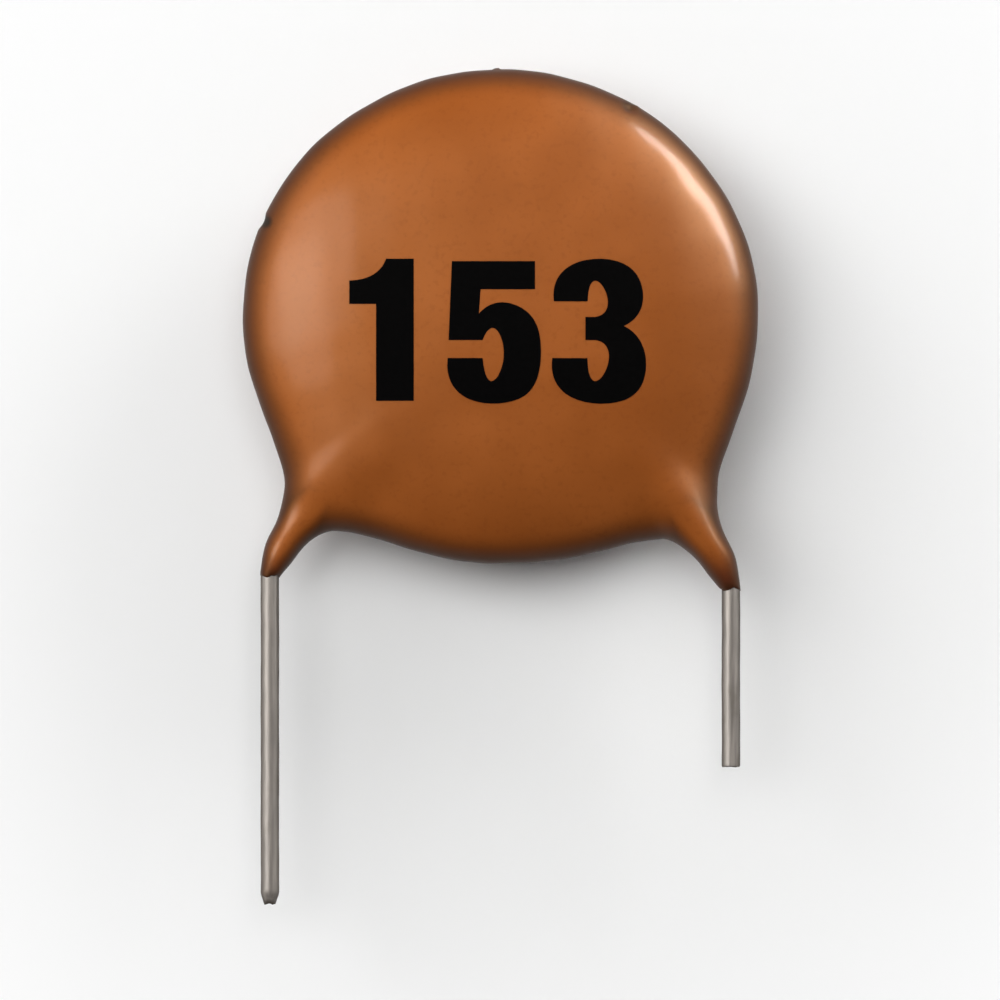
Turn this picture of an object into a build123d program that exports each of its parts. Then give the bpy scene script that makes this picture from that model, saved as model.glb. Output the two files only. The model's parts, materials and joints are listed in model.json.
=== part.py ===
from build123d import *
import math
import os

# A ceramic disc capacitor lying on its back, printed face up.
# +X is to the right of the print, +Y to the top of the print, and +Z up out of the face.
# The origin is under the middle of the part, on the surface that it lies on.
# Sizes are in millimetres, and angles in degrees.

os.makedirs("parts", exist_ok=True)

# Wires
lead_pitch = 15.0
lead_diameter = 0.6
left_lead_length = 10.62
right_lead_length = 5.74
lead_lean = 36
bend_radius = 1.0
climb_run = 3.9
landing_radius = 1.5
seated_run = 6.1

# Resin body
body_width = 16.84
body_height = 16.02
body_thickness = 4.4
face_share = 0.62
rim_fullness = 2.2
face_dome = 1.0
front_flat = 0.1
back_flat = 0.35
face_sections = 5
rim_tilts = range(90, -1, -15)

# Ceramic, silver and solder
ceramic_diameter = 14.5
ceramic_thickness = 1.2
ceramic_edge = 0.15
electrode_diameter = 13.5
electrode_thickness = 0.05
solder_film = 0.03
solder_width = 1.7
solder_height = 0.45
solder_taper = 30
solder_start = 1.6
solder_end = 5.9

# Ink
ink_thickness = 0.03
print_baseline_y = 2.77

# Places in the frame
disc_y = 5.58
left_coat_end_y = -2.95
right_coat_end_y = -3.38
mid_z = body_thickness / 2
lead_radius = lead_diameter / 2
lead_rise = ceramic_thickness / 2 + electrode_thickness + solder_film + lead_radius

# A side is -1 on the left and 1 on the right. A face is -1 at the back and 1 at the front.
LEFT = -1
RIGHT = 1
BACK = -1
FRONT = 1

# The rim below the round crown, from the left flank down, along the wavy foot and up the right
# flank. The points are measured from the middle of the disc.
rim_skirt = [
    (-7.66, -3.42),
    (-7.30, -4.39),
    (-7.04, -5.37),
    (-6.97, -6.18),
    (-6.50, -6.80),
    (-5.77, -7.02),
    (-4.89, -7.09),
    (-3.10, -7.61),
    (-1.60, -7.97),
    (0.08, -8.11),
    (1.70, -8.01),
    (3.24, -7.71),
    (5.03, -7.36),
    (5.88, -7.28),
    (6.66, -6.95),
    (7.02, -6.18),
    (7.08, -5.37),
    (7.38, -4.39),
    (7.73, -3.42),
]
crown_angles = range(-12, 193, 12)

# Sections of a sleeve, from the end of the coat up into the body: height above that end,
# distance in from the wire's line, half width, half thickness, rise towards the lead's face,
# and lean.
sleeve_sections = [
    (0.00, 0.00, 0.33, 0.33, 0.00, 0),
    (0.33, 0.10, 0.40, 0.39, 0.01, 22),
    (0.65, 0.24, 0.52, 0.50, 0.05, 26),
    (0.98, 0.38, 0.58, 0.57, 0.10, 32),
    (1.46, 0.73, 0.60, 0.68, 0.22, 37),
    (2.25, 1.30, 0.75, 0.84, 0.36, 37),
    (3.25, 2.05, 0.80, 0.76, 0.42, 36),
]
oval_turns = range(0, 360, 30)


def crown_point(angle):
    """A point of the round crown's ellipse, from the middle of the disc."""
    return body_width / 2 * math.cos(angle), body_height / 2 * math.sin(angle)


def rim_spread(share):
    """How far a contour lies along the rounded rim: 0 at its inner edge and 1 at the outline."""
    return max((share - face_share) / (1 - face_share), 0)


def body_outline(share):
    """The contour of the body that is this share of its outline across."""
    spread = rim_spread(share)
    rim = [crown_point(math.radians(angle)) for angle in crown_angles] + rim_skirt
    points = []
    for x, y in rim:
        round_x, round_y = crown_point(math.atan2(y / body_height, x / body_width))
        points.append(
            (
                share * (round_x + spread * (x - round_x)),
                disc_y + share * (round_y + spread * (y - round_y)),
            )
        )
    return points


def face_shares(flat):
    """The contours of one face, from its flat middle out to the rim."""
    middle = [flat + (face_share - flat) * step / face_sections for step in range(face_sections)]
    spreads = [max(math.cos(math.radians(tilt)), 0) ** (2 / rim_fullness) for tilt in rim_tilts]
    return middle + [face_share + (1 - face_share) * spread for spread in spreads]


def face_height(share, flat):
    """How high a domed face stands over the disc's middle plane at a contour."""
    rounding = max(1 - rim_spread(share) ** rim_fullness, 0)
    dome = 1 + face_dome * (share**2 - flat**2)
    return mid_z * math.sqrt(rounding / dome)


def pillow():
    """The resin over the disc: two domed faces that meet in a rounded rim."""
    back = [(share, mid_z - face_height(share, back_flat)) for share in face_shares(back_flat)]
    front = [(share, mid_z + face_height(share, front_flat)) for share in face_shares(front_flat)]
    with BuildPart() as body:
        for share, height in back + front[-2::-1]:
            with BuildSketch(Plane.XY.offset(height)):
                with BuildLine():
                    Spline(*body_outline(share), periodic=True)
                make_face()
        loft()
    return body


def oval(half_width, half_height):
    """Points round an oval section."""
    turns = [math.radians(turn) for turn in oval_turns]
    return [(half_width * math.cos(turn), half_height * math.sin(turn)) for turn in turns]


def sleeve(side, face, end_y):
    """The resin that runs down a wire below the body."""
    with BuildPart() as tube:
        for up, inward, half_width, half_thickness, rise, lean in sleeve_sections:
            slant = math.radians(lean)
            place = Plane(
                origin=(side * (lead_pitch / 2 - inward), end_y + up, mid_z + face * rise),
                x_dir=(math.cos(slant), side * math.sin(slant), 0),
                z_dir=(-side * math.sin(slant), math.cos(slant), 0),
            )
            with BuildSketch(place):
                with BuildLine():
                    Spline(*oval(half_width, half_thickness), periodic=True)
                make_face()
        loft(ruled=True)
    return tube


def lead_corners(side, face, end_y, length):
    """The wire's tip, its two bends and its end on the disc."""
    slant = math.radians(lead_lean)
    along = Vector(-side * math.sin(slant), math.cos(slant), 0)
    climb = along * climb_run + Vector(0, 0, face * lead_rise)
    turn = math.radians(climb.get_angle(Vector(0, 1, 0)))
    tip = Vector(side * lead_pitch / 2, end_y - length, mid_z)
    bend = Vector(tip.X, end_y + bend_radius * math.tan(turn / 2), mid_z)
    landing = bend + climb
    return tip, bend, landing, landing + along * seated_run


def lead(side, face, end_y, length):
    """One round wire from its cut tip to its end on the silver."""
    with BuildPart() as wire:
        corners = lead_corners(side, face, end_y, length)
        with BuildLine() as path:
            FilletPolyline(*corners, radius=[bend_radius, landing_radius])
        with BuildSketch(Plane(origin=corners[0], z_dir=(0, 1, 0))):
            Circle(lead_radius)
        sweep(path=path.wires()[0])
    return wire


def solder(side, face, end_y, length, wire):
    """The solder that holds a wire on the silver."""
    landing, seated_end = lead_corners(side, face, end_y, length)[2:]
    along = (seated_end - landing).normalized()
    middle = landing + along * (solder_start + solder_end) / 2
    foot_z = mid_z + face * (ceramic_thickness / 2 + electrode_thickness)
    with BuildPart() as mound:
        with BuildSketch(
            Plane(origin=(middle.X, middle.Y, foot_z), x_dir=along, z_dir=(0, 0, face))
        ):
            SlotCenterToCenter(solder_end - solder_start, solder_width)
        extrude(amount=solder_height, taper=solder_taper)
        add(wire, mode=Mode.SUBTRACT)
    return mound


def electrode(face):
    """One fired silver layer on a face of the ceramic."""
    with BuildPart() as layer:
        with BuildSketch(Plane.XY.offset(mid_z + face * ceramic_thickness / 2)):
            with Locations((0, disc_y)):
                Circle(electrode_diameter / 2)
        extrude(amount=face * electrode_thickness)
    return layer


# Digits of the value code, each from its own lower left corner


def digit_one():
    """A 1 with a flag whose top edge curves up into the stem."""
    with BuildLine() as outline:
        Polyline(
            (1.197, 4.60), (2.089, 4.60), (2.089, 0), (0.869, 0), (0.869, 3.137), (0, 3.137), (0, 3.895)
        )
        Bezier((0, 3.895), (0.95, 3.93), (1.197, 4.60))
    return outline.line


def digit_five():
    """A 5 with a square flag and an open bowl."""
    with BuildLine() as outline:
        Polyline(
            (0.033, 1.965), (0.137, 4.52), (2.828, 4.52), (2.828, 3.608), (1.067, 3.608), (1.012, 2.821)
        )
        Spline(
            (1.012, 2.821), (1.916, 3.176), (2.70, 2.75), (3.02, 1.624), (2.60, 0.254), (1.539, -0.091),
            (0.547, 0.13), (0, 1.383),
        )
        Line((0, 1.383), (1.129, 1.383))
        Spline((1.129, 1.383), (1.471, 0.651), (1.819, 1.519), (1.471, 2.356), (1.129, 1.965))
        Line((1.129, 1.965), (0.033, 1.965))
    return outline.line


def digit_three():
    """A 3 with two open bowls that meet at a short bar."""
    with BuildLine() as outline:
        Line((0.049, 3.218), (1.145, 3.218))
        Spline((1.145, 3.218), (1.474, 3.862), (1.783, 3.335), (1.37, 2.714))
        Polyline((1.37, 2.714), (1.07, 2.714), (1.07, 1.965), (1.37, 1.965))
        Spline((1.37, 1.965), (1.829, 1.347), (1.474, 0.664), (1.132, 1.383))
        Line((1.132, 1.383), (0, 1.383))
        Spline((0, 1.383), (0.39, 0.26), (1.507, -0.091), (2.75, 0.30), (3.03, 1.347), (2.317, 2.424))
        Spline((2.317, 2.424), (2.94, 3.335), (2.65, 4.19), (1.507, 4.60), (0.42, 4.26), (0.049, 3.218))
    return outline.line


# Wires
left_wire = (LEFT, BACK, left_coat_end_y, left_lead_length)
right_wire = (RIGHT, FRONT, right_coat_end_y, right_lead_length)
left_lead = lead(*left_wire)
right_lead = lead(*right_wire)

# The disc with its two silver layers
with BuildPart() as ceramic_disc:
    with BuildSketch(Plane.XY.offset(mid_z - ceramic_thickness / 2)):
        with Locations((0, disc_y)):
            Circle(ceramic_diameter / 2)
    extrude(amount=ceramic_thickness)
    fillet(ceramic_disc.edges().filter_by(GeomType.CIRCLE), ceramic_edge)

front_electrode = electrode(FRONT)
back_electrode = electrode(BACK)

# Solder over each wire
front_solder = solder(*right_wire, right_lead.part)
back_solder = solder(*left_wire, left_lead.part)

# The resin, cast round everything above
body = pillow()
left_sleeve = sleeve(LEFT, BACK, left_coat_end_y)
right_sleeve = sleeve(RIGHT, FRONT, right_coat_end_y)

with BuildPart() as coating:
    for mass in (body, left_sleeve, right_sleeve):
        add(mass.part)
    for inner in (ceramic_disc, front_electrode, back_electrode, front_solder, back_solder):
        add(inner.part, mode=Mode.SUBTRACT)
    for wire in (left_lead, right_lead):
        add(wire.part, mode=Mode.SUBTRACT)

# The printed value code, a film that follows the domed front
digits = [(digit_one(), -4.894), (digit_five(), -1.708), (digit_three(), 1.679)]

with BuildPart() as value_mark:
    for outline, left_x in digits:
        with BuildSketch(Plane(origin=(left_x, print_baseline_y, mid_z))):
            with BuildLine():
                add(outline)
            make_face()
    extrude(amount=body_thickness)
    add(body.part.moved(Location((0, 0, ink_thickness))), mode=Mode.INTERSECT)
    add(body.part, mode=Mode.SUBTRACT)

pieces = {
    "left_lead": left_lead,
    "right_lead": right_lead,
    "ceramic_disc": ceramic_disc,
    "front_electrode": front_electrode,
    "back_electrode": back_electrode,
    "front_solder": front_solder,
    "back_solder": back_solder,
    "coating": coating,
    "value_mark": value_mark,
}
for name, piece in pieces.items():
    piece.part.label = name
    export_step(piece.part, f"parts/{name}.step")
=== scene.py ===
import json
import math

import bmesh
import bpy
import numpy as np
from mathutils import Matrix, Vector


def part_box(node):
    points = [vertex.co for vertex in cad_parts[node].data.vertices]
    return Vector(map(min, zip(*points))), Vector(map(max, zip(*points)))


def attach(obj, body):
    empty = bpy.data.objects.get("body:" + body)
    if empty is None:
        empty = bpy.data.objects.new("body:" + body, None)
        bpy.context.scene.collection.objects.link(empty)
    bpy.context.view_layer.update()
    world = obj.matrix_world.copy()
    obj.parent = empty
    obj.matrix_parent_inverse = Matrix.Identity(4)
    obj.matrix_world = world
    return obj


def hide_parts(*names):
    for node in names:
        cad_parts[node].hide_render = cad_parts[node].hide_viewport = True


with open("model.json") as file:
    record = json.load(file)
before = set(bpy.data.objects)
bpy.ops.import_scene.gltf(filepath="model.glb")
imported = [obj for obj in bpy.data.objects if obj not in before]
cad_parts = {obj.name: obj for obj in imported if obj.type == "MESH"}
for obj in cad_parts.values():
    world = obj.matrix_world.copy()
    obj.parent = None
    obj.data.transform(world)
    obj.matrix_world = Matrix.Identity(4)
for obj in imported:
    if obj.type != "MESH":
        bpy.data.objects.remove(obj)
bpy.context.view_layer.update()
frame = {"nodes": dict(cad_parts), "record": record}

# A ceramic disc capacitor that lies on its back. Its resin coat, its wires and its ink are made
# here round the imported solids. They are worked out in millimetres and then scaled to metres. The
# table, the lamps, the camera and the grain of the materials are in metres.
MM = 0.001
LEFT, RIGHT = -1, 1
BACK, FRONT = -1, 1

# Sizes from the frame
coat_low, coat_high = (np.array(corner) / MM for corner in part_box("coating"))
disc_low, disc_high = (np.array(corner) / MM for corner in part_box("ceramic_disc"))
mounts = {mount["name"]: mount for mount in frame["record"]["mounts"]}
half_thickness = (coat_high[2] - coat_low[2]) / 2
mid_z = coat_low[2] + half_thickness
disc_x, disc_y = (disc_low[:2] + disc_high[:2]) / 2
crown_half_width = (coat_high[0] - coat_low[0]) / 2
crown_half_height = coat_high[1] - disc_y


def pin(name):
    """The wire's line, its radius, its tip and the end of the coat on it."""
    mount = mounts[name]
    x, y, _ = (value / MM for value in mount["pos_m"])
    length = mount["dims"]["length_mm"]
    return x, mount["dims"]["r_mm"], y - length / 2, y + length / 2


left_x, wire_radius, left_tip_y, left_end_y = pin("left_pin")
right_x, _, right_tip_y, right_end_y = pin("right_pin")

# Shape of the body: the share of its outline where the faces start to round off into the rim,
# how full the rim is, how much the faces are domed, and the flat share in the middle of each.
face_share = 0.45
rim_fullness = 2.2
face_dome = 1.0
front_flat = 0.1
back_flat = 0.35

# The rim below the round crown, from the left flank down, along the wavy foot and up the right
# flank, from the middle of the disc.
rim_skirt = [
    (-7.66, -3.42),
    (-7.30, -4.39),
    (-7.04, -5.37),
    (-6.97, -6.18),
    (-6.50, -6.80),
    (-5.77, -7.02),
    (-4.89, -7.09),
    (-3.10, -7.61),
    (-1.60, -7.97),
    (0.08, -8.11),
    (1.70, -8.01),
    (3.24, -7.71),
    (5.03, -7.36),
    (5.88, -7.28),
    (6.66, -6.95),
    (7.02, -6.18),
    (7.08, -5.37),
    (7.38, -4.39),
    (7.73, -3.42),
]
crown_angles = range(-12, 193, 12)

# Sections of a sleeve, from the end of the coat up into the body: height above that end,
# distance in from the wire's line, half width, half thickness, rise towards the lead's face,
# and lean in degrees.
sleeve_sections = np.array([
    (0.00, 0.00, 0.33, 0.33, 0.00, 0),
    (0.33, 0.10, 0.40, 0.45, 0.01, 22),
    (0.65, 0.24, 0.52, 0.59, 0.05, 26),
    (0.98, 0.38, 0.58, 0.67, 0.10, 32),
    (1.46, 0.73, 0.60, 0.72, 0.19, 37),
    (2.25, 1.30, 0.75, 0.76, 0.31, 37),
    (3.25, 2.05, 0.80, 0.80, 0.42, 36),
])

# How softly a sleeve joins the body, how round and how ragged the end of the coat is, and the
# heights from the middle of the frame between which the resin on the wires thins out.
crotch_blend = 0.45
coat_end_blend = 0.03
coat_end_jag = 0.05
thin_coat_y = (-3.2, -1.9)

# Skin of the coat: how far it is drawn in, the height of its slow and quick ripples, and the width of the
# band of painted shade along the rim.
skin_inset = 0.012
slow_ripple = 0.012
quick_ripple = 0.005
rim_shade_band = 0.6

# Route of a wire inside the coat: it bends off its line, climbs towards its face of the disc, and
# lies along the disc.
lead_lean = math.radians(36)
bend_radius = 1.0
climb_run = 3.9
landing_radius = 1.5
seated_run = 6.1
lead_rise = 0.98

# Small marks on the rim that the resin kept: place, width, and depth, which is under 0 for a nib
rim_marks = [
    ((4.22, 12.30, mid_z + 0.5), 0.16, 0.07),
    ((4.42, 12.30, mid_z + 0.2), 0.12, -0.03),
    ((-7.72, 8.62, mid_z), 0.14, 0.16),
    ((-0.12, 13.60, mid_z), 0.08, -0.05),
]

# Dark spots beside the rim, one nearly black by a pit and one brown by a dent: place, radius and strength.
# They reach a little below the middle of the rim.
dark_spots = [((-7.64, 8.61), 0.27, 1.0), ((4.15, 12.36), 0.24, 0.5)]
spot_reach_down = 0.5

# Thickness of the ink over the resin and into it
ink_film = 0.012
ink_soak = 0.03

# How finely the shapes are worked out
coat_grid_step = 0.09
rim_line_points = 1440
sleeve_steps = 80
sleeve_smoothing = 40
slope_step = 0.01
route_step = 0.12
route_arc_points = 9
wire_sides = 40
ink_cut_step = 0.3
least_steepness = 0.05
weld_distance = 0.0005


# Smooth lines and fields


def smooth_ring(points, count):
    """Even points on a smooth closed line through the given points."""
    points = np.array(points, float)
    total = len(points)
    span = np.linalg.norm(np.roll(points, -1, axis=0) - points, axis=1)
    before = np.roll(span, 1)
    slope = (np.roll(points, -1, axis=0) - points) / span[:, None]
    matrix = np.zeros((total, total))
    for row in range(total):
        matrix[row, row - 1] += span[row]
        matrix[row, row] += 2 * (span[row] + before[row])
        matrix[row, (row + 1) % total] += before[row]
    push = 3 * (span[:, None] * np.roll(slope, 1, axis=0) + before[:, None] * slope)
    tangent = np.linalg.solve(matrix, push)
    start = np.concatenate([[0], np.cumsum(span)])
    where = np.linspace(0, start[-1], count, endpoint=False)
    piece = np.searchsorted(start, where, side="right") - 1
    t = ((where - start[piece]) / span[piece])[:, None]
    after = (piece + 1) % total
    return (
        points[piece] * (1 + 2 * t) * (1 - t) ** 2
        + tangent[piece] * span[piece][:, None] * t * (1 - t) ** 2
        + points[after] * t * t * (3 - 2 * t)
        + tangent[after] * span[piece][:, None] * t * t * (t - 1)
    )


def crown_point(angle):
    """A point of the round crown, from the middle of the disc."""
    return crown_half_width * math.cos(angle), crown_half_height * math.sin(angle)


crown = [crown_point(math.radians(angle)) for angle in crown_angles]
rim_line = smooth_ring(crown + rim_skirt, rim_line_points)
rim_angle = np.arctan2(rim_line[:, 1], rim_line[:, 0])
rim_order = np.argsort(rim_angle)
rim_angle = rim_angle[rim_order]
rim_reach = np.hypot(rim_line[:, 0], rim_line[:, 1])[rim_order]


def smooth_min(a, b, blend):
    """The lower of two fields, with a rounded change from one to the other."""
    share = np.clip(0.5 + 0.5 * (b - a) / blend, 0, 1)
    return b + (a - b) * share - blend * share * (1 - share)


def body_gap(x, y, z):
    """About how far a point lies outside the resin over the disc."""
    x, y = x - disc_x, y - disc_y
    angle, reach = np.arctan2(y, x), np.hypot(x, y)
    rim = np.interp(angle, rim_angle, rim_reach, period=2 * math.pi)
    oval = 1 / np.hypot(np.cos(angle) / crown_half_width, np.sin(angle) / crown_half_height)
    share = reach / rim
    for _ in range(4):
        spread = np.clip((share - face_share) / (1 - face_share), 0, 1.5)
        share = reach / (oval + spread * (rim - oval))
    spread = np.clip((share - face_share) / (1 - face_share), 0, None)
    lift = (z - mid_z) / half_thickness
    flat = np.where(lift > 0, front_flat, back_flat)
    dome = 1 + face_dome * np.maximum(share**2 - flat**2, 0)
    return half_thickness * (np.sqrt(spread**rim_fullness + lift**2 * dome) - 1)


sleeve_up = np.linspace(0, sleeve_sections[-1, 0], sleeve_steps)
sleeve_rows = np.stack(
    [np.interp(sleeve_up, sleeve_sections[:, 0], column) for column in sleeve_sections.T[1:]]
)
for _ in range(sleeve_smoothing):
    sleeve_rows[:, 1:-1] = (sleeve_rows[:, :-2] + 2 * sleeve_rows[:, 1:-1] + sleeve_rows[:, 2:]) / 4


def sleeve_gap(x, y, z, side, face, line_x, end_y, flattened=False):
    """About how far a point lies outside the sleeve of resin on one wire.

    flattened gives the same for the sleeve's outline seen from above.
    """
    out, above, over = side * (x - line_x), y - end_y, face * (z - mid_z)
    up = np.clip(above, 0, sleeve_up[-1])
    for _ in range(4):
        inward = np.interp(up, sleeve_up, sleeve_rows[0])
        lean = np.radians(np.interp(up, sleeve_up, sleeve_rows[4]))
        along = (above - up) * np.cos(lean) - (out + inward) * np.sin(lean)
        up = np.clip(up + along * np.cos(lean), 0, sleeve_up[-1])
    inward, half_width, half_depth, rise, lean = (np.interp(up, sleeve_up, row) for row in sleeve_rows)
    lean = np.radians(lean)
    across = (out + inward) * np.cos(lean) + (above - up) * np.sin(lean)
    if flattened:
        return np.maximum(np.maximum(np.abs(across) - half_width, -above), above - sleeve_up[-1])
    tube = half_width * (np.hypot(across / half_width, (over - rise) / half_depth) - 1)
    turn = np.arctan2(over, out)
    jag = coat_end_jag * (np.sin(3 * turn + side) + 0.6 * np.sin(7 * turn + 2 * side))
    tube = -smooth_min(-tube, above + jag, coat_end_blend)
    return np.maximum(tube, above - sleeve_up[-1] - inward)


def sleeve_plan(x, y, side, line_x, end_y):
    """About how far a point lies outside the outline of a sleeve, seen from above."""
    return sleeve_gap(x, y, mid_z, side, BACK, line_x, end_y, flattened=True)


def ripple(x, y, z):
    """The slight unevenness of resin that dried as it hung."""
    slow = np.sin(1.1 * x + 0.7 * y + 0.5) * np.sin(0.9 * y - 0.6 * x + 1.3 * z)
    quick = np.sin(2.9 * x - 1.7 * y + 1.1 * z) * np.sin(2.3 * y + 1.9 * x + 0.8)
    return slow_ripple * slow + quick_ripple * quick


def coat_gap(points):
    """About how far each point lies outside the coat, and under 0 inside it."""
    x, y, z = points[..., 0], points[..., 1], points[..., 2]
    gap = body_gap(x, y, z)
    for sleeve in ((LEFT, BACK, left_x, left_end_y), (RIGHT, FRONT, right_x, right_end_y)):
        gap = smooth_min(gap, sleeve_gap(x, y, z, *sleeve), crotch_blend)
    gap = gap + ripple(x, y, z) + skin_inset
    for place, width, depth in rim_marks:
        distance = np.sum((points - np.array(place)) ** 2, axis=-1)
        gap = gap + depth * np.exp(-distance / width**2)
    return gap


def rim_shade_share(points):
    """How much painted shade each point gets: 0 over the disc and 1 at the rim and beside a wire."""
    x, y, z = points.T
    level = np.full(len(points), mid_z)
    near = -body_gap(x, y, level)
    for side, line_x, end_y in ((LEFT, left_x, left_end_y), (RIGHT, right_x, right_end_y)):
        near = np.maximum(near, -sleeve_plan(x, y, side, line_x, end_y))
    return np.clip(1 - near / rim_shade_band, 0, 1)


def spot_share(points):
    """How dark each point on the front is from the spots beside the rim."""
    share = np.zeros(len(points))
    for place, radius, strength in dark_spots:
        distance = np.linalg.norm(points[:, :2] - place, axis=1)
        share = np.maximum(share, strength * np.clip(2 - 2 * distance / radius, 0, 1))
    return share * (points[:, 2] > mid_z - spot_reach_down)


# Meshing


def slope_along(points, axis):
    """How fast the gap to the coat grows along an axis at each point."""
    nudge = slope_step * axis
    return (coat_gap(points + nudge) - coat_gap(points - nudge)) / (2 * slope_step)


def settle(points, rounds):
    """Moves points onto the coat's surface, along the steepest way."""
    for _ in range(rounds):
        slope = np.stack([slope_along(points, axis) for axis in np.eye(3)], axis=-1)
        steep = np.maximum(np.sum(slope**2, axis=-1), least_steepness)
        move = slope * (coat_gap(points) / steep)[:, None]
        points = points - np.clip(move, -coat_grid_step, coat_grid_step)
    return points


def surface_net(low, high, step):
    """Points and four-sided faces of the coat's surface, one point to each cell that it crosses."""
    axes = [np.arange(start, stop + step, step) for start, stop in zip(low, high)]
    grid = np.stack(np.meshgrid(*axes, indexing="ij"), axis=-1)
    inside = coat_gap(grid) < 0
    cell_shape = tuple(n - 1 for n in inside.shape)
    corners = np.zeros(cell_shape, int)
    for shift in np.ndindex(2, 2, 2):
        window = tuple(slice(s, s + n) for s, n in zip(shift, cell_shape))
        corners += inside[window]
    crossed = (corners > 0) & (corners < 8)
    number = np.full(cell_shape, -1)
    number[crossed] = np.arange(crossed.sum())
    points = np.array(low) + step * (np.argwhere(crossed) + 0.5)
    unit = np.eye(3, dtype=int)
    faces = []
    for axis in range(3):
        u, v = unit[(axis + 1) % 3], unit[(axis + 2) % 3]
        here = np.take(inside, range(inside.shape[axis] - 1), axis)
        there = np.take(inside, range(1, inside.shape[axis]), axis)
        for crossing, ring in (
            (here & ~there, (-u - v, -v, 0 * u, -u)),
            (~here & there, (-u, 0 * u, -v, -u - v)),
        ):
            start = np.argwhere(crossing)
            faces.append(np.stack([number[tuple((start + offset).T)] for offset in ring], axis=1))
    return points, np.concatenate(faces)


def relax(points, faces, rounds):
    """Evens out the mesh while it stays on the coat's surface."""
    ends = np.concatenate([faces[:, [i, (i + 1) % 4]] for i in range(4)])
    count = np.bincount(ends[:, 0], minlength=len(points))
    for _ in range(rounds):
        middle = np.stack(
            [np.bincount(ends[:, 0], points[ends[:, 1], i], len(points)) / count for i in range(3)],
            axis=1,
        )
        points = settle((points + middle) / 2, 1)
    return settle(points, 2)


def make_piece(name, points, faces, replaced):
    """A smooth mesh piece from points in millimetres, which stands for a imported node."""
    mesh = bpy.data.meshes.new(name)
    mesh.from_pydata((np.array(points) * MM).tolist(), [], [list(map(int, face)) for face in faces])
    mesh.shade_smooth()
    piece = bpy.data.objects.new(name, mesh)
    bpy.context.scene.collection.objects.link(piece)
    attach(piece, "root")
    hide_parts(replaced)
    return piece


def add_field(piece, name, values):
    """Keeps one number at each point of a piece, for its material."""
    field = piece.data.attributes.new(name, "FLOAT", "POINT")
    field.data.foreach_set("value", np.array(values, float))


def make_coat():
    """The resin coat, with its two sleeves."""
    pad = 2 * coat_grid_step
    points, faces = surface_net(coat_low - pad, coat_high + pad, coat_grid_step)
    points = relax(settle(points, 3), faces, 4)
    piece = make_piece("resin_coat", points, faces, "coating")
    # The depth field is the share of painted shade along the outline of the coat
    add_field(piece, "depth", rim_shade_share(points))
    add_field(piece, "spot", spot_share(points))
    return piece


# Wires


def rounded_route(corners, radii, spacing):
    """Even points along straight runs that are joined by arcs, and how far along each one is."""
    route = [corners[0]]
    for before, corner, after, radius in zip(corners, corners[1:], corners[2:], radii):
        back = (before - corner) / np.linalg.norm(before - corner)
        ahead = (after - corner) / np.linalg.norm(after - corner)
        turn = math.pi - math.acos(float(back @ ahead))
        reach = radius * math.tan(turn / 2)
        inward = (back + ahead) / np.linalg.norm(back + ahead)
        centre = corner + inward * radius / math.cos(turn / 2)
        start, stop = corner + back * reach - centre, corner + ahead * reach - centre
        for t in np.linspace(0, 1, route_arc_points):
            swing = start * math.sin((1 - t) * turn) + stop * math.sin(t * turn)
            route.append(centre + swing / math.sin(turn))
    route.append(corners[-1])
    route = np.array(route)
    walked = np.concatenate([[0], np.cumsum(np.linalg.norm(np.diff(route, axis=0), axis=1))])
    where = np.linspace(0, walked[-1], round(walked[-1] / spacing) + 1)
    return np.stack([np.interp(where, walked, column) for column in route.T], axis=1), where


def wire_route(side, face, line_x, tip_y, end_y):
    """The middle line of a wire, from its cut tip to its end on the disc."""
    along = np.array([-side * math.sin(lead_lean), math.cos(lead_lean), 0])
    climb = along * climb_run + np.array([0, 0, face * lead_rise])
    turn = math.acos(climb[1] / np.linalg.norm(climb))
    start = np.array([line_x, tip_y, mid_z])
    bend = np.array([line_x, end_y + bend_radius * math.tan(turn / 2), mid_z])
    landing = bend + climb
    corners = [start, bend, landing, landing + along * seated_run]
    return rounded_route(corners, [bend_radius, landing_radius], route_step)


def wire_rings(route, where, cut):
    """Rings from the cut to the other end: place, direction, width, height and distance along."""
    tangents = np.gradient(route, axis=0)
    tangents /= np.linalg.norm(tangents, axis=1)[:, None]
    ahead = np.array([0.0, 1.0, 0.0])
    rings = [(route[0] + depth * ahead, ahead, width, height, depth) for depth, width, height in cut]
    for place, tangent, walked in zip(route, tangents, where):
        if walked > cut[-1][0] + cut_clearance:
            rings.append((place, tangent, 1.0, 1.0, walked))
    return rings


def ring_points(ring, turns, tip):
    """Points round a wire, whose skin is slightly uneven and whose cut edge is ragged."""
    place, tangent, width, height, walked = ring
    flat = np.cross(tangent, [0, 0, 1])
    flat /= np.linalg.norm(flat)
    lift = np.cross(flat, tangent)
    skin = 1 + 0.012 * np.sin(1.7 * walked + turns) + 0.008 * np.sin(5.3 * walked - 2 * turns)
    near_cut = max(0, 1 - walked / tip["steps"][-1][0])
    rag = tip["rag"] * near_cut * (np.sin(3 * turns + 1) + np.sin(5 * turns))
    return (
        place
        + np.outer(np.cos(turns) * skin * width * wire_radius, flat)
        + np.outer(np.sin(turns) * skin * height * wire_radius, lift)
        + np.outer(rag, tangent)
    )


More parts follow.
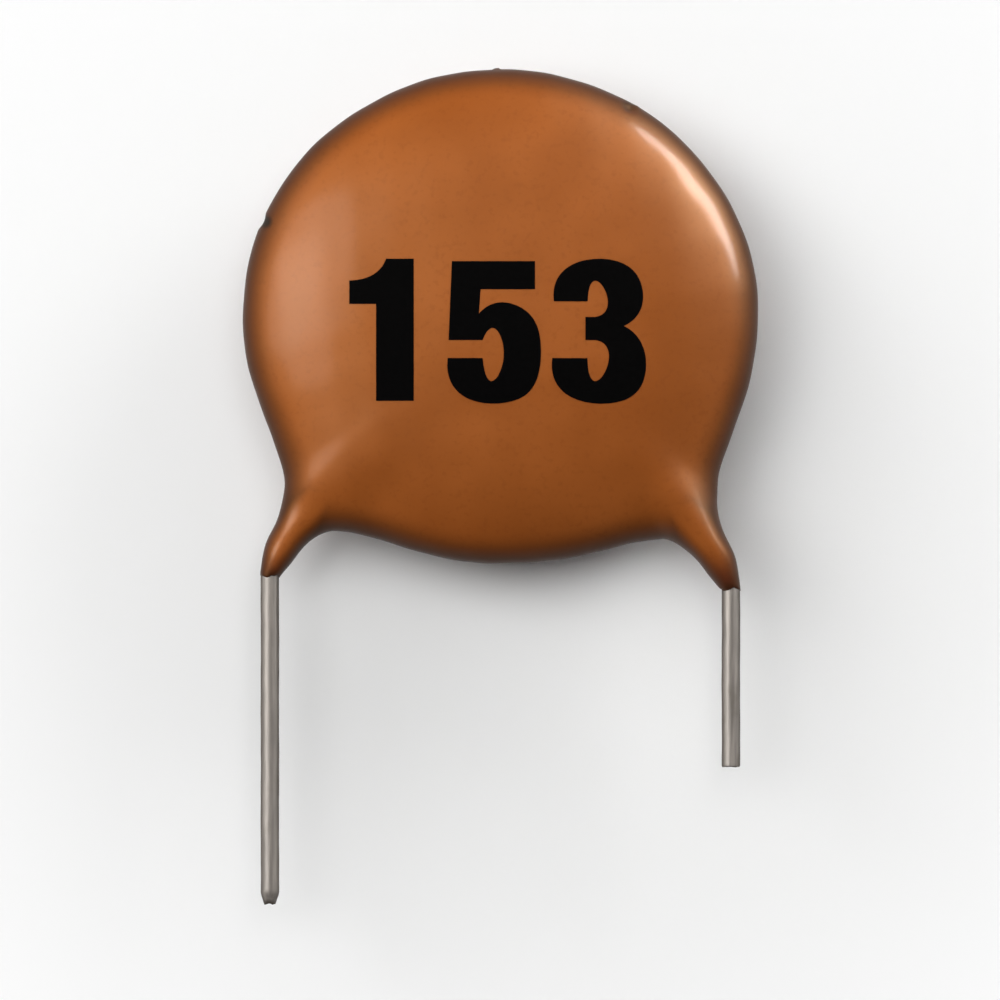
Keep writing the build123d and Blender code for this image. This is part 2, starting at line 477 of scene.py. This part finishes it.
def make_wire(name, side, face, line_x, tip_y, end_y, tip, replaced):
    """A tinned wire with a cut tip, with painted shade along its sides and a darker burred edge."""
    route, where = wire_route(side, face, line_x, tip_y, end_y)
    rings = wire_rings(route, where, tip["steps"])
    turns = np.linspace(0, 2 * math.pi, wire_sides, endpoint=False)
    points, faces = [], []
    for ring in rings:
        points.extend(ring_points(ring, turns, tip))
    last = (len(rings) - 1) * wire_sides
    for low in range(0, last, wire_sides):
        for i in range(wire_sides):
            j = (i + 1) % wire_sides
            high = low + wire_sides
            faces.append((low + i, low + j, high + j, high + i))
    cut_middle, end_middle = len(points), len(points) + 1
    points.append(np.mean(points[:wire_sides], axis=0) + np.array([0, tip["dip"], 0]))
    points.append(np.mean(points[last:cut_middle], axis=0))
    for i in range(wire_sides):
        j = (i + 1) % wire_sides
        faces.append((cut_middle, j, i))
        faces.append((end_middle, last + i, last + j))
    piece = make_piece(name, points, faces, replaced)
    burr = np.clip(1 - np.array([ring[-1] for ring in rings]) / tip["burr"], 0, 1)
    # Painted shade on the wire's sides, strongest where they face sideways as seen from above, and the
    # darker burred edge by the cut
    side_shade_and_burr = np.maximum(np.abs(np.cos(turns)), burr[:, None])
    add_field(piece, "side_shade_and_burr", list(side_shade_and_burr.flat) + [1, 0])
    return piece


# The cut of each wire: rings of depth from the tip, width and height in shares of the wire, then how
# ragged the edge is, how far its middle is sunk and how far the darkening of its burred edge reaches.
snipped_tip = {
    "steps": [
        (0.0, 0.60, 0.28),
        (0.05, 0.68, 0.36),
        (0.14, 0.78, 0.60),
        (0.26, 0.92, 0.86),
        (0.38, 1.0, 1.0),
    ],
    "rag": 0.022,
    "dip": 0.01,
    "burr": 0.5,
}
sawn_tip = {
    "steps": [(0.0, 0.93, 0.93), (0.02, 0.985, 0.985), (0.05, 1.0, 1.0)],
    "rag": 0.008,
    "dip": 0.015,
    "burr": 0.15,
}
cut_clearance = 0.05


# Ink


def digits_from_above():
    """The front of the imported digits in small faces: points, faces and the edges of the rims."""
    mesh = bmesh.new()
    mesh.from_mesh(frame["nodes"]["value_mark"].data)
    bmesh.ops.scale(mesh, vec=Vector((1 / MM,) * 3), verts=mesh.verts)
    bmesh.ops.remove_doubles(mesh, verts=mesh.verts, dist=weld_distance)
    mesh.normal_update()
    hidden = [face for face in mesh.faces if face.normal.z < 0.5]
    bmesh.ops.delete(mesh, geom=hidden, context="FACES")
    low = [min(v.co[i] for v in mesh.verts) for i in range(2)]
    high = [max(v.co[i] for v in mesh.verts) for i in range(2)]
    for axis in range(2):
        for place in np.arange(low[axis] + ink_cut_step / 2, high[axis], ink_cut_step):
            point, normal = Vector((0, 0, 0)), Vector((0, 0, 0))
            point[axis], normal[axis] = place, 1
            everything = mesh.verts[:] + mesh.edges[:] + mesh.faces[:]
            bmesh.ops.bisect_plane(mesh, geom=everything, plane_co=point, plane_no=normal)
    points = np.array([vertex.co[:] for vertex in mesh.verts])
    faces = [[vertex.index for vertex in face.verts] for face in mesh.faces]
    rims = [[edge.verts[0].index, edge.verts[1].index] for edge in mesh.edges if edge.is_boundary]
    mesh.free()
    return points, faces, rims


def make_ink():
    """The printed digits, a film that is laid on the domed face."""
    points, faces, rims = digits_from_above()
    up = np.array([0, 0, 1.0])
    for _ in range(6):
        points[:, 2] -= coat_gap(points) / slope_along(points, up)
    count = len(points)
    ways = {tuple(face[i] for i in (k - 1, k)) for face in faces for k in range(len(face))}
    walls = []
    for a, b in rims:
        if (a, b) not in ways:
            a, b = b, a
        walls.append((b, a, a + count, b + count))
    underside = [[i + count for i in reversed(face)] for face in faces]
    both = np.concatenate([points + ink_film * up, points - ink_soak * up])
    piece = make_piece("value_code", both, faces + walls + underside, "value_mark")
    piece.data.shade_flat()
    return piece


# Materials


def srgb(red, green, blue):
    """A colour in the render's own units from everyday values of 0 to 255."""
    return tuple(
        c / 12.92 if c <= 0.04045 else ((c + 0.055) / 1.055) ** 2.4
        for c in (red / 255, green / 255, blue / 255)
    ) + (1.0,)


class Paint:
    """A short way to write a material's nodes."""

    def __init__(self, name):
        self.material = bpy.data.materials.new(name)
        self.material.use_nodes = True
        self.nodes = self.material.node_tree.nodes
        self.links = self.material.node_tree.links
        self.shader = self.nodes["Principled BSDF"]
        self.place = self.node("ShaderNodeTexCoord").outputs["Object"]

    def node(self, kind, inputs=(), **settings):
        """A new node, whose inputs are linked to sockets or set to values."""
        made = self.nodes.new(kind)
        for key, value in settings.items():
            setattr(made, key, value)
        for key, value in dict(inputs).items():
            if isinstance(value, bpy.types.NodeSocket):
                self.links.new(value, made.inputs[key])
            else:
                made.inputs[key].default_value = value
        return made

    def noise(self, scale, detail=2.0, roughness=0.5, stretch=(1, 1, 1)):
        """Noise whose features are 1 / scale metres across."""
        moved = self.node("ShaderNodeMapping", {"Vector": self.place, "Scale": stretch})
        made = self.node(
            "ShaderNodeTexNoise",
            {"Vector": moved.outputs[0], "Scale": scale, "Detail": detail, "Roughness": roughness},
        )
        return made.outputs["Fac"]

    def ramp(self, value, low, high, start=0.0, stop=1.0):
        """Maps a value from start..stop to low..high, with soft ends."""
        made = self.node(
            "ShaderNodeMapRange",
            {"Value": value, "From Min": start, "From Max": stop, "To Min": low, "To Max": high},
            interpolation_type="SMOOTHSTEP",
        )
        return made.outputs["Result"]

    def mix(self, share, first, second):
        """A colour between two others."""
        made = self.node("ShaderNodeMix", data_type="RGBA")
        for socket, value in zip((made.inputs[0], made.inputs[6], made.inputs[7]), (share, first, second)):
            if isinstance(value, bpy.types.NodeSocket):
                self.links.new(value, socket)
            else:
                socket.default_value = value
        return made.outputs[2]

    def bump(self, height, distance, below=None):
        """A surface normal for a height in shares of distance, over another bump if one is given."""
        inputs = {"Height": height, "Distance": distance, "Strength": 1.0}
        if below is not None:
            inputs["Normal"] = below
        return self.node("ShaderNodeBump", inputs).outputs["Normal"]

    def set(self, **sockets):
        """Sets or links the shader's own sockets, and gives the finished material."""
        for key, value in sockets.items():
            socket = self.shader.inputs[key.replace("_", " ")]
            if isinstance(value, bpy.types.NodeSocket):
                self.links.new(value, socket)
            else:
                socket.default_value = value
        return self.material


def resin_material():
    """Brown dipped resin: soft gloss, faintly mottled, with painted shade along the rim, darker where it
    thins out, and with dark spots beside the rim.
    """
    paint = Paint("resin")
    cloud = paint.noise(260, 3)
    grain = paint.noise(5200, 2)
    base = paint.mix(paint.ramp(cloud, 0, 1, 0.3, 0.7), srgb(150, 78, 27), srgb(163, 87, 33))
    base = paint.mix(paint.ramp(grain, 0, 0.35, 0.5, 0.75), base, srgb(136, 68, 23))
    height = paint.node("ShaderNodeSeparateXYZ", {"Vector": paint.place}).outputs["Y"]
    thin = paint.ramp(height, 1, 0, thin_coat_y[0] * MM, thin_coat_y[1] * MM)
    base = paint.mix(thin, base, srgb(104, 50, 30))
    # Painted shade: the base darkens towards the outline of the body and the sleeves, as seen from above
    depth = paint.node("ShaderNodeAttribute", attribute_name="depth").outputs["Fac"]
    base = paint.mix(paint.ramp(depth, 0, 0.95, 0.1, 1.0), base, srgb(52, 24, 8))
    spot = paint.node("ShaderNodeAttribute", attribute_name="spot").outputs["Fac"]
    base = paint.mix(spot, base, srgb(10, 7, 4))
    peel = paint.noise(1900, 2)
    rough = paint.ramp(cloud, 0.43, 0.48, 0.3, 0.7)
    normal = paint.bump(peel, 0.006 * MM)
    normal = paint.bump(grain, 0.001 * MM, below=normal)
    return paint.set(
        Base_Color=base,
        Roughness=rough,
        Normal=normal,
        Specular_IOR_Level=0.25,
        Specular_Tint=(1.0, 0.58, 0.28, 1.0),
        Coat_Weight=0.1,
        Coat_Roughness=0.16,
    )


def ink_material():
    """Flat black ink."""
    paint = Paint("ink")
    grain = paint.noise(6000, 2)
    base = paint.mix(grain, srgb(1, 1, 1), srgb(6, 5, 5))
    normal = paint.bump(grain, 0.001 * MM)
    rough = paint.ramp(grain, 0.6, 0.75)
    return paint.set(Base_Color=base, Roughness=rough, Normal=normal, Specular_IOR_Level=0.01)


def wire_material():
    """Dull tinned wire, with faint marks along its length, painted shade on its sides and a darker burred
    edge.
    """
    paint = Paint("tinned_wire")
    streak = paint.noise(9000, 3, stretch=(1, 0.05, 1))
    stain = paint.noise(1400, 3, stretch=(1, 0.5, 1))
    base = paint.mix(paint.ramp(streak, 0, 1, 0.3, 0.7), srgb(122, 116, 110), srgb(142, 135, 128))
    base = paint.mix(paint.ramp(stain, 0, 0.5, 0.52, 0.72), base, srgb(100, 92, 82))
    # Painted shade on the wire's sides, and the darker burred edge by the cut
    side_shade_and_burr = paint.node("ShaderNodeAttribute", attribute_name="side_shade_and_burr").outputs["Fac"]
    base = paint.mix(paint.ramp(side_shade_and_burr, 0, 0.8, 0.65, 1.0), base, srgb(62, 50, 38))
    rough = paint.ramp(streak, 0.38, 0.52)
    normal = paint.bump(streak, 0.004 * MM)
    return paint.set(Base_Color=base, Roughness=rough, Normal=normal, Metallic=0.2, Specular_IOR_Level=0.2)


def plain_material(name, low, high, scale, metallic, rough_low, rough_high, depth):
    """A finish for an inner piece: two tones of one colour, with a fine grain."""
    paint = Paint(name)
    grain = paint.noise(scale, 4)
    base = paint.mix(paint.ramp(grain, 0, 1, 0.3, 0.7), srgb(*low), srgb(*high))
    rough = paint.ramp(grain, rough_low, rough_high)
    return paint.set(Base_Color=base, Roughness=rough, Normal=paint.bump(grain, depth), Metallic=metallic)


# Stage


def make_floor():
    """A table that looks white, keeps the shadow and fades into the backdrop."""
    reach = 0.6
    corners = [(-reach, -reach, 0), (reach, -reach, 0), (reach, reach, 0), (-reach, reach, 0)]
    mesh = bpy.data.meshes.new("floor")
    mesh.from_pydata(corners, [], [(0, 1, 2, 3)])
    floor = bpy.data.objects.new("floor", mesh)
    bpy.context.scene.collection.objects.link(floor)
    paint = Paint("floor")
    path = paint.node("ShaderNodeLightPath").outputs
    seen = path["Is Camera Ray"]
    for kind in ("Is Glossy Ray", "Is Transmission Ray"):
        seen = paint.node("ShaderNodeMath", {0: seen, 1: path[kind]}, operation="MAXIMUM").outputs[0]
    grain = paint.noise(800, 3)
    tone = paint.mix(grain, srgb(250, 250, 249), srgb(252, 252, 252))
    base = paint.mix(seen, srgb(150, 150, 150), tone)
    far = paint.node("ShaderNodeVectorMath", {0: paint.place}, operation="LENGTH").outputs["Value"]
    fade = paint.ramp(far, 0, 1, 0.006, 0.03)
    fade = paint.node("ShaderNodeMath", {0: fade, 1: seen}, operation="MULTIPLY").outputs[0]
    paint.set(Base_Color=base, Roughness=0.9, Specular_IOR_Level=0.0)
    glow = paint.node("ShaderNodeEmission", {"Color": (1, 1, 1, 1), "Strength": 1.0}).outputs[0]
    blend = paint.node("ShaderNodeMixShader", {0: fade, 1: paint.shader.outputs[0], 2: glow})
    paint.links.new(blend.outputs[0], paint.nodes["Material Output"].inputs["Surface"])
    mesh.materials.append(paint.material)


def lamp_place(turn, rise, distance):
    """A place at an angle round from the right, an angle up from the table, and a distance."""
    turn, rise = math.radians(turn), math.radians(rise)
    flat = distance * math.cos(rise)
    return Vector((flat * math.cos(turn), flat * math.sin(turn), distance * math.sin(rise)))


def make_lamp(name, turn, rise, distance, size, level, use):
    """A soft oval lamp that faces the part. use is light, or shine if it only makes a highlight."""
    light = bpy.data.lights.new(name, "AREA")
    light.shape = "ELLIPSE"
    light.size, light.size_y = size
    light.energy = level * math.pi * math.pi / 4 * size[0] * size[1]
    lamp = bpy.data.objects.new(name, light)
    lamp.location = lamp_place(turn, rise, distance)
    lamp.rotation_euler = (-lamp.location).to_track_quat("-Z", "Y").to_euler()
    lamp.visible_camera = False
    lamp.visible_diffuse = use == "light"
    lamp.visible_glossy = use == "shine"
    bpy.context.scene.collection.objects.link(lamp)


def make_world(low_light, ceiling):
    """Low even light, and to the eye a white backdrop under a greyer ceiling."""
    world = bpy.data.worlds.new("studio")
    world.use_nodes = True
    nodes, links = world.node_tree.nodes, world.node_tree.links
    path = nodes.new("ShaderNodeLightPath")
    seen = path.outputs["Is Camera Ray"]
    for kind in ("Is Glossy Ray", "Is Transmission Ray"):
        either = nodes.new("ShaderNodeMath")
        either.operation = "MAXIMUM"
        links.new(seen, either.inputs[0])
        links.new(path.outputs[kind], either.inputs[1])
        seen = either.outputs[0]
    place = nodes.new("ShaderNodeTexCoord")
    split = nodes.new("ShaderNodeSeparateXYZ")
    links.new(place.outputs["Generated"], split.inputs[0])
    backdrop = nodes.new("ShaderNodeMapRange")
    backdrop.interpolation_type = "SMOOTHSTEP"
    for key, value in {"From Min": 0.0, "From Max": 0.3, "To Min": 1.0, "To Max": ceiling}.items():
        backdrop.inputs[key].default_value = value
    links.new(split.outputs["Z"], backdrop.inputs["Value"])
    level = nodes.new("ShaderNodeMapRange")
    level.inputs["To Min"].default_value = low_light
    links.new(seen, level.inputs["Value"])
    links.new(backdrop.outputs["Result"], level.inputs["To Max"])
    links.new(level.outputs["Result"], nodes["Background"].inputs["Strength"])
    nodes["Background"].inputs["Color"].default_value = (1, 1, 1, 1)
    bpy.context.scene.world = world


def make_camera(centre_x, centre_y, height, field):
    """A long lens straight above, whose square frame is as wide as field at the part's middle."""
    camera = bpy.data.cameras.new("camera")
    camera.sensor_width = 36
    camera.lens = 400
    distance = field * camera.lens / camera.sensor_width
    thing = bpy.data.objects.new("camera", camera)
    thing.location = (centre_x, centre_y, height + distance)
    bpy.context.scene.collection.objects.link(thing)
    bpy.context.scene.camera = thing


# The photograph's frame: millimetres to one pixel, and the pixel at the part's origin
pixel = 15 / 461
origin_pixel = (500.4, 486.5)
frame_pixels = 1000
make_camera(
    (frame_pixels / 2 - origin_pixel[0]) * pixel * MM,
    (origin_pixel[1] - frame_pixels / 2) * pixel * MM,
    mid_z * MM,
    frame_pixels * pixel * MM,
)

coat = make_coat()
left_wire = make_wire(
    "left_wire", LEFT, BACK, left_x, left_tip_y, left_end_y, snipped_tip, "left_lead"
)
right_wire = make_wire(
    "right_wire", RIGHT, FRONT, right_x, right_tip_y, right_end_y, sawn_tip, "right_lead"
)
ink = make_ink()

coat.data.materials.append(resin_material())
ink.data.materials.append(ink_material())
tin = wire_material()
for wire in (left_wire, right_wire):
    wire.data.materials.append(tin)

ceramic = plain_material("ceramic", (196, 184, 160), (212, 201, 178), 3000, 0.0, 0.55, 0.7, 0.004 * MM)
silver = plain_material("silver", (214, 212, 206), (232, 230, 226), 2500, 1.0, 0.35, 0.5, 0.003 * MM)
solder = plain_material("solder", (170, 170, 172), (196, 196, 199), 1200, 1.0, 0.2, 0.35, 0.01 * MM)
inner_finishes = {
    "ceramic_disc": ceramic,
    "front_electrode": silver,
    "back_electrode": silver,
    "front_solder": solder,
    "back_solder": solder,
}
for node, material in inner_finishes.items():
    mesh = frame["nodes"][node].data
    mesh.materials.clear()
    mesh.materials.append(material)

# The lamps in metres: name, turn, rise, distance, width and height, level, and use. The three glow
# lamps in one place make a highlight that fades out at its edge.
lamps = [
    ("key", 160, 50, 0.25, (0.20, 0.20), 3.6, "light"),
    ("side", 150, 22, 0.25, (0.12, 0.08), 8.5, "light"),
    ("top", 86, 70, 0.32, (0.24, 0.24), 2.1, "light"),
    ("fill", 45, 13, 0.15, (0.09, 0.04), 14.5, "light"),
    ("glow", 168, 47, 0.25, (0.07, 0.07), 13.0, "shine"),
    ("glow", 168, 47, 0.25, (0.12, 0.12), 13.0, "shine"),
    ("glow", 168, 47, 0.25, (0.18, 0.18), 8.0, "shine"),
    ("strip", 37, 22, 0.15, (0.11, 0.035), 90.0, "shine"),
]
make_floor()
make_world(low_light=0.05, ceiling=0.12)
for lamp in lamps:
    make_lamp(*lamp)

bpy.context.scene.view_settings.view_transform = "Standard"
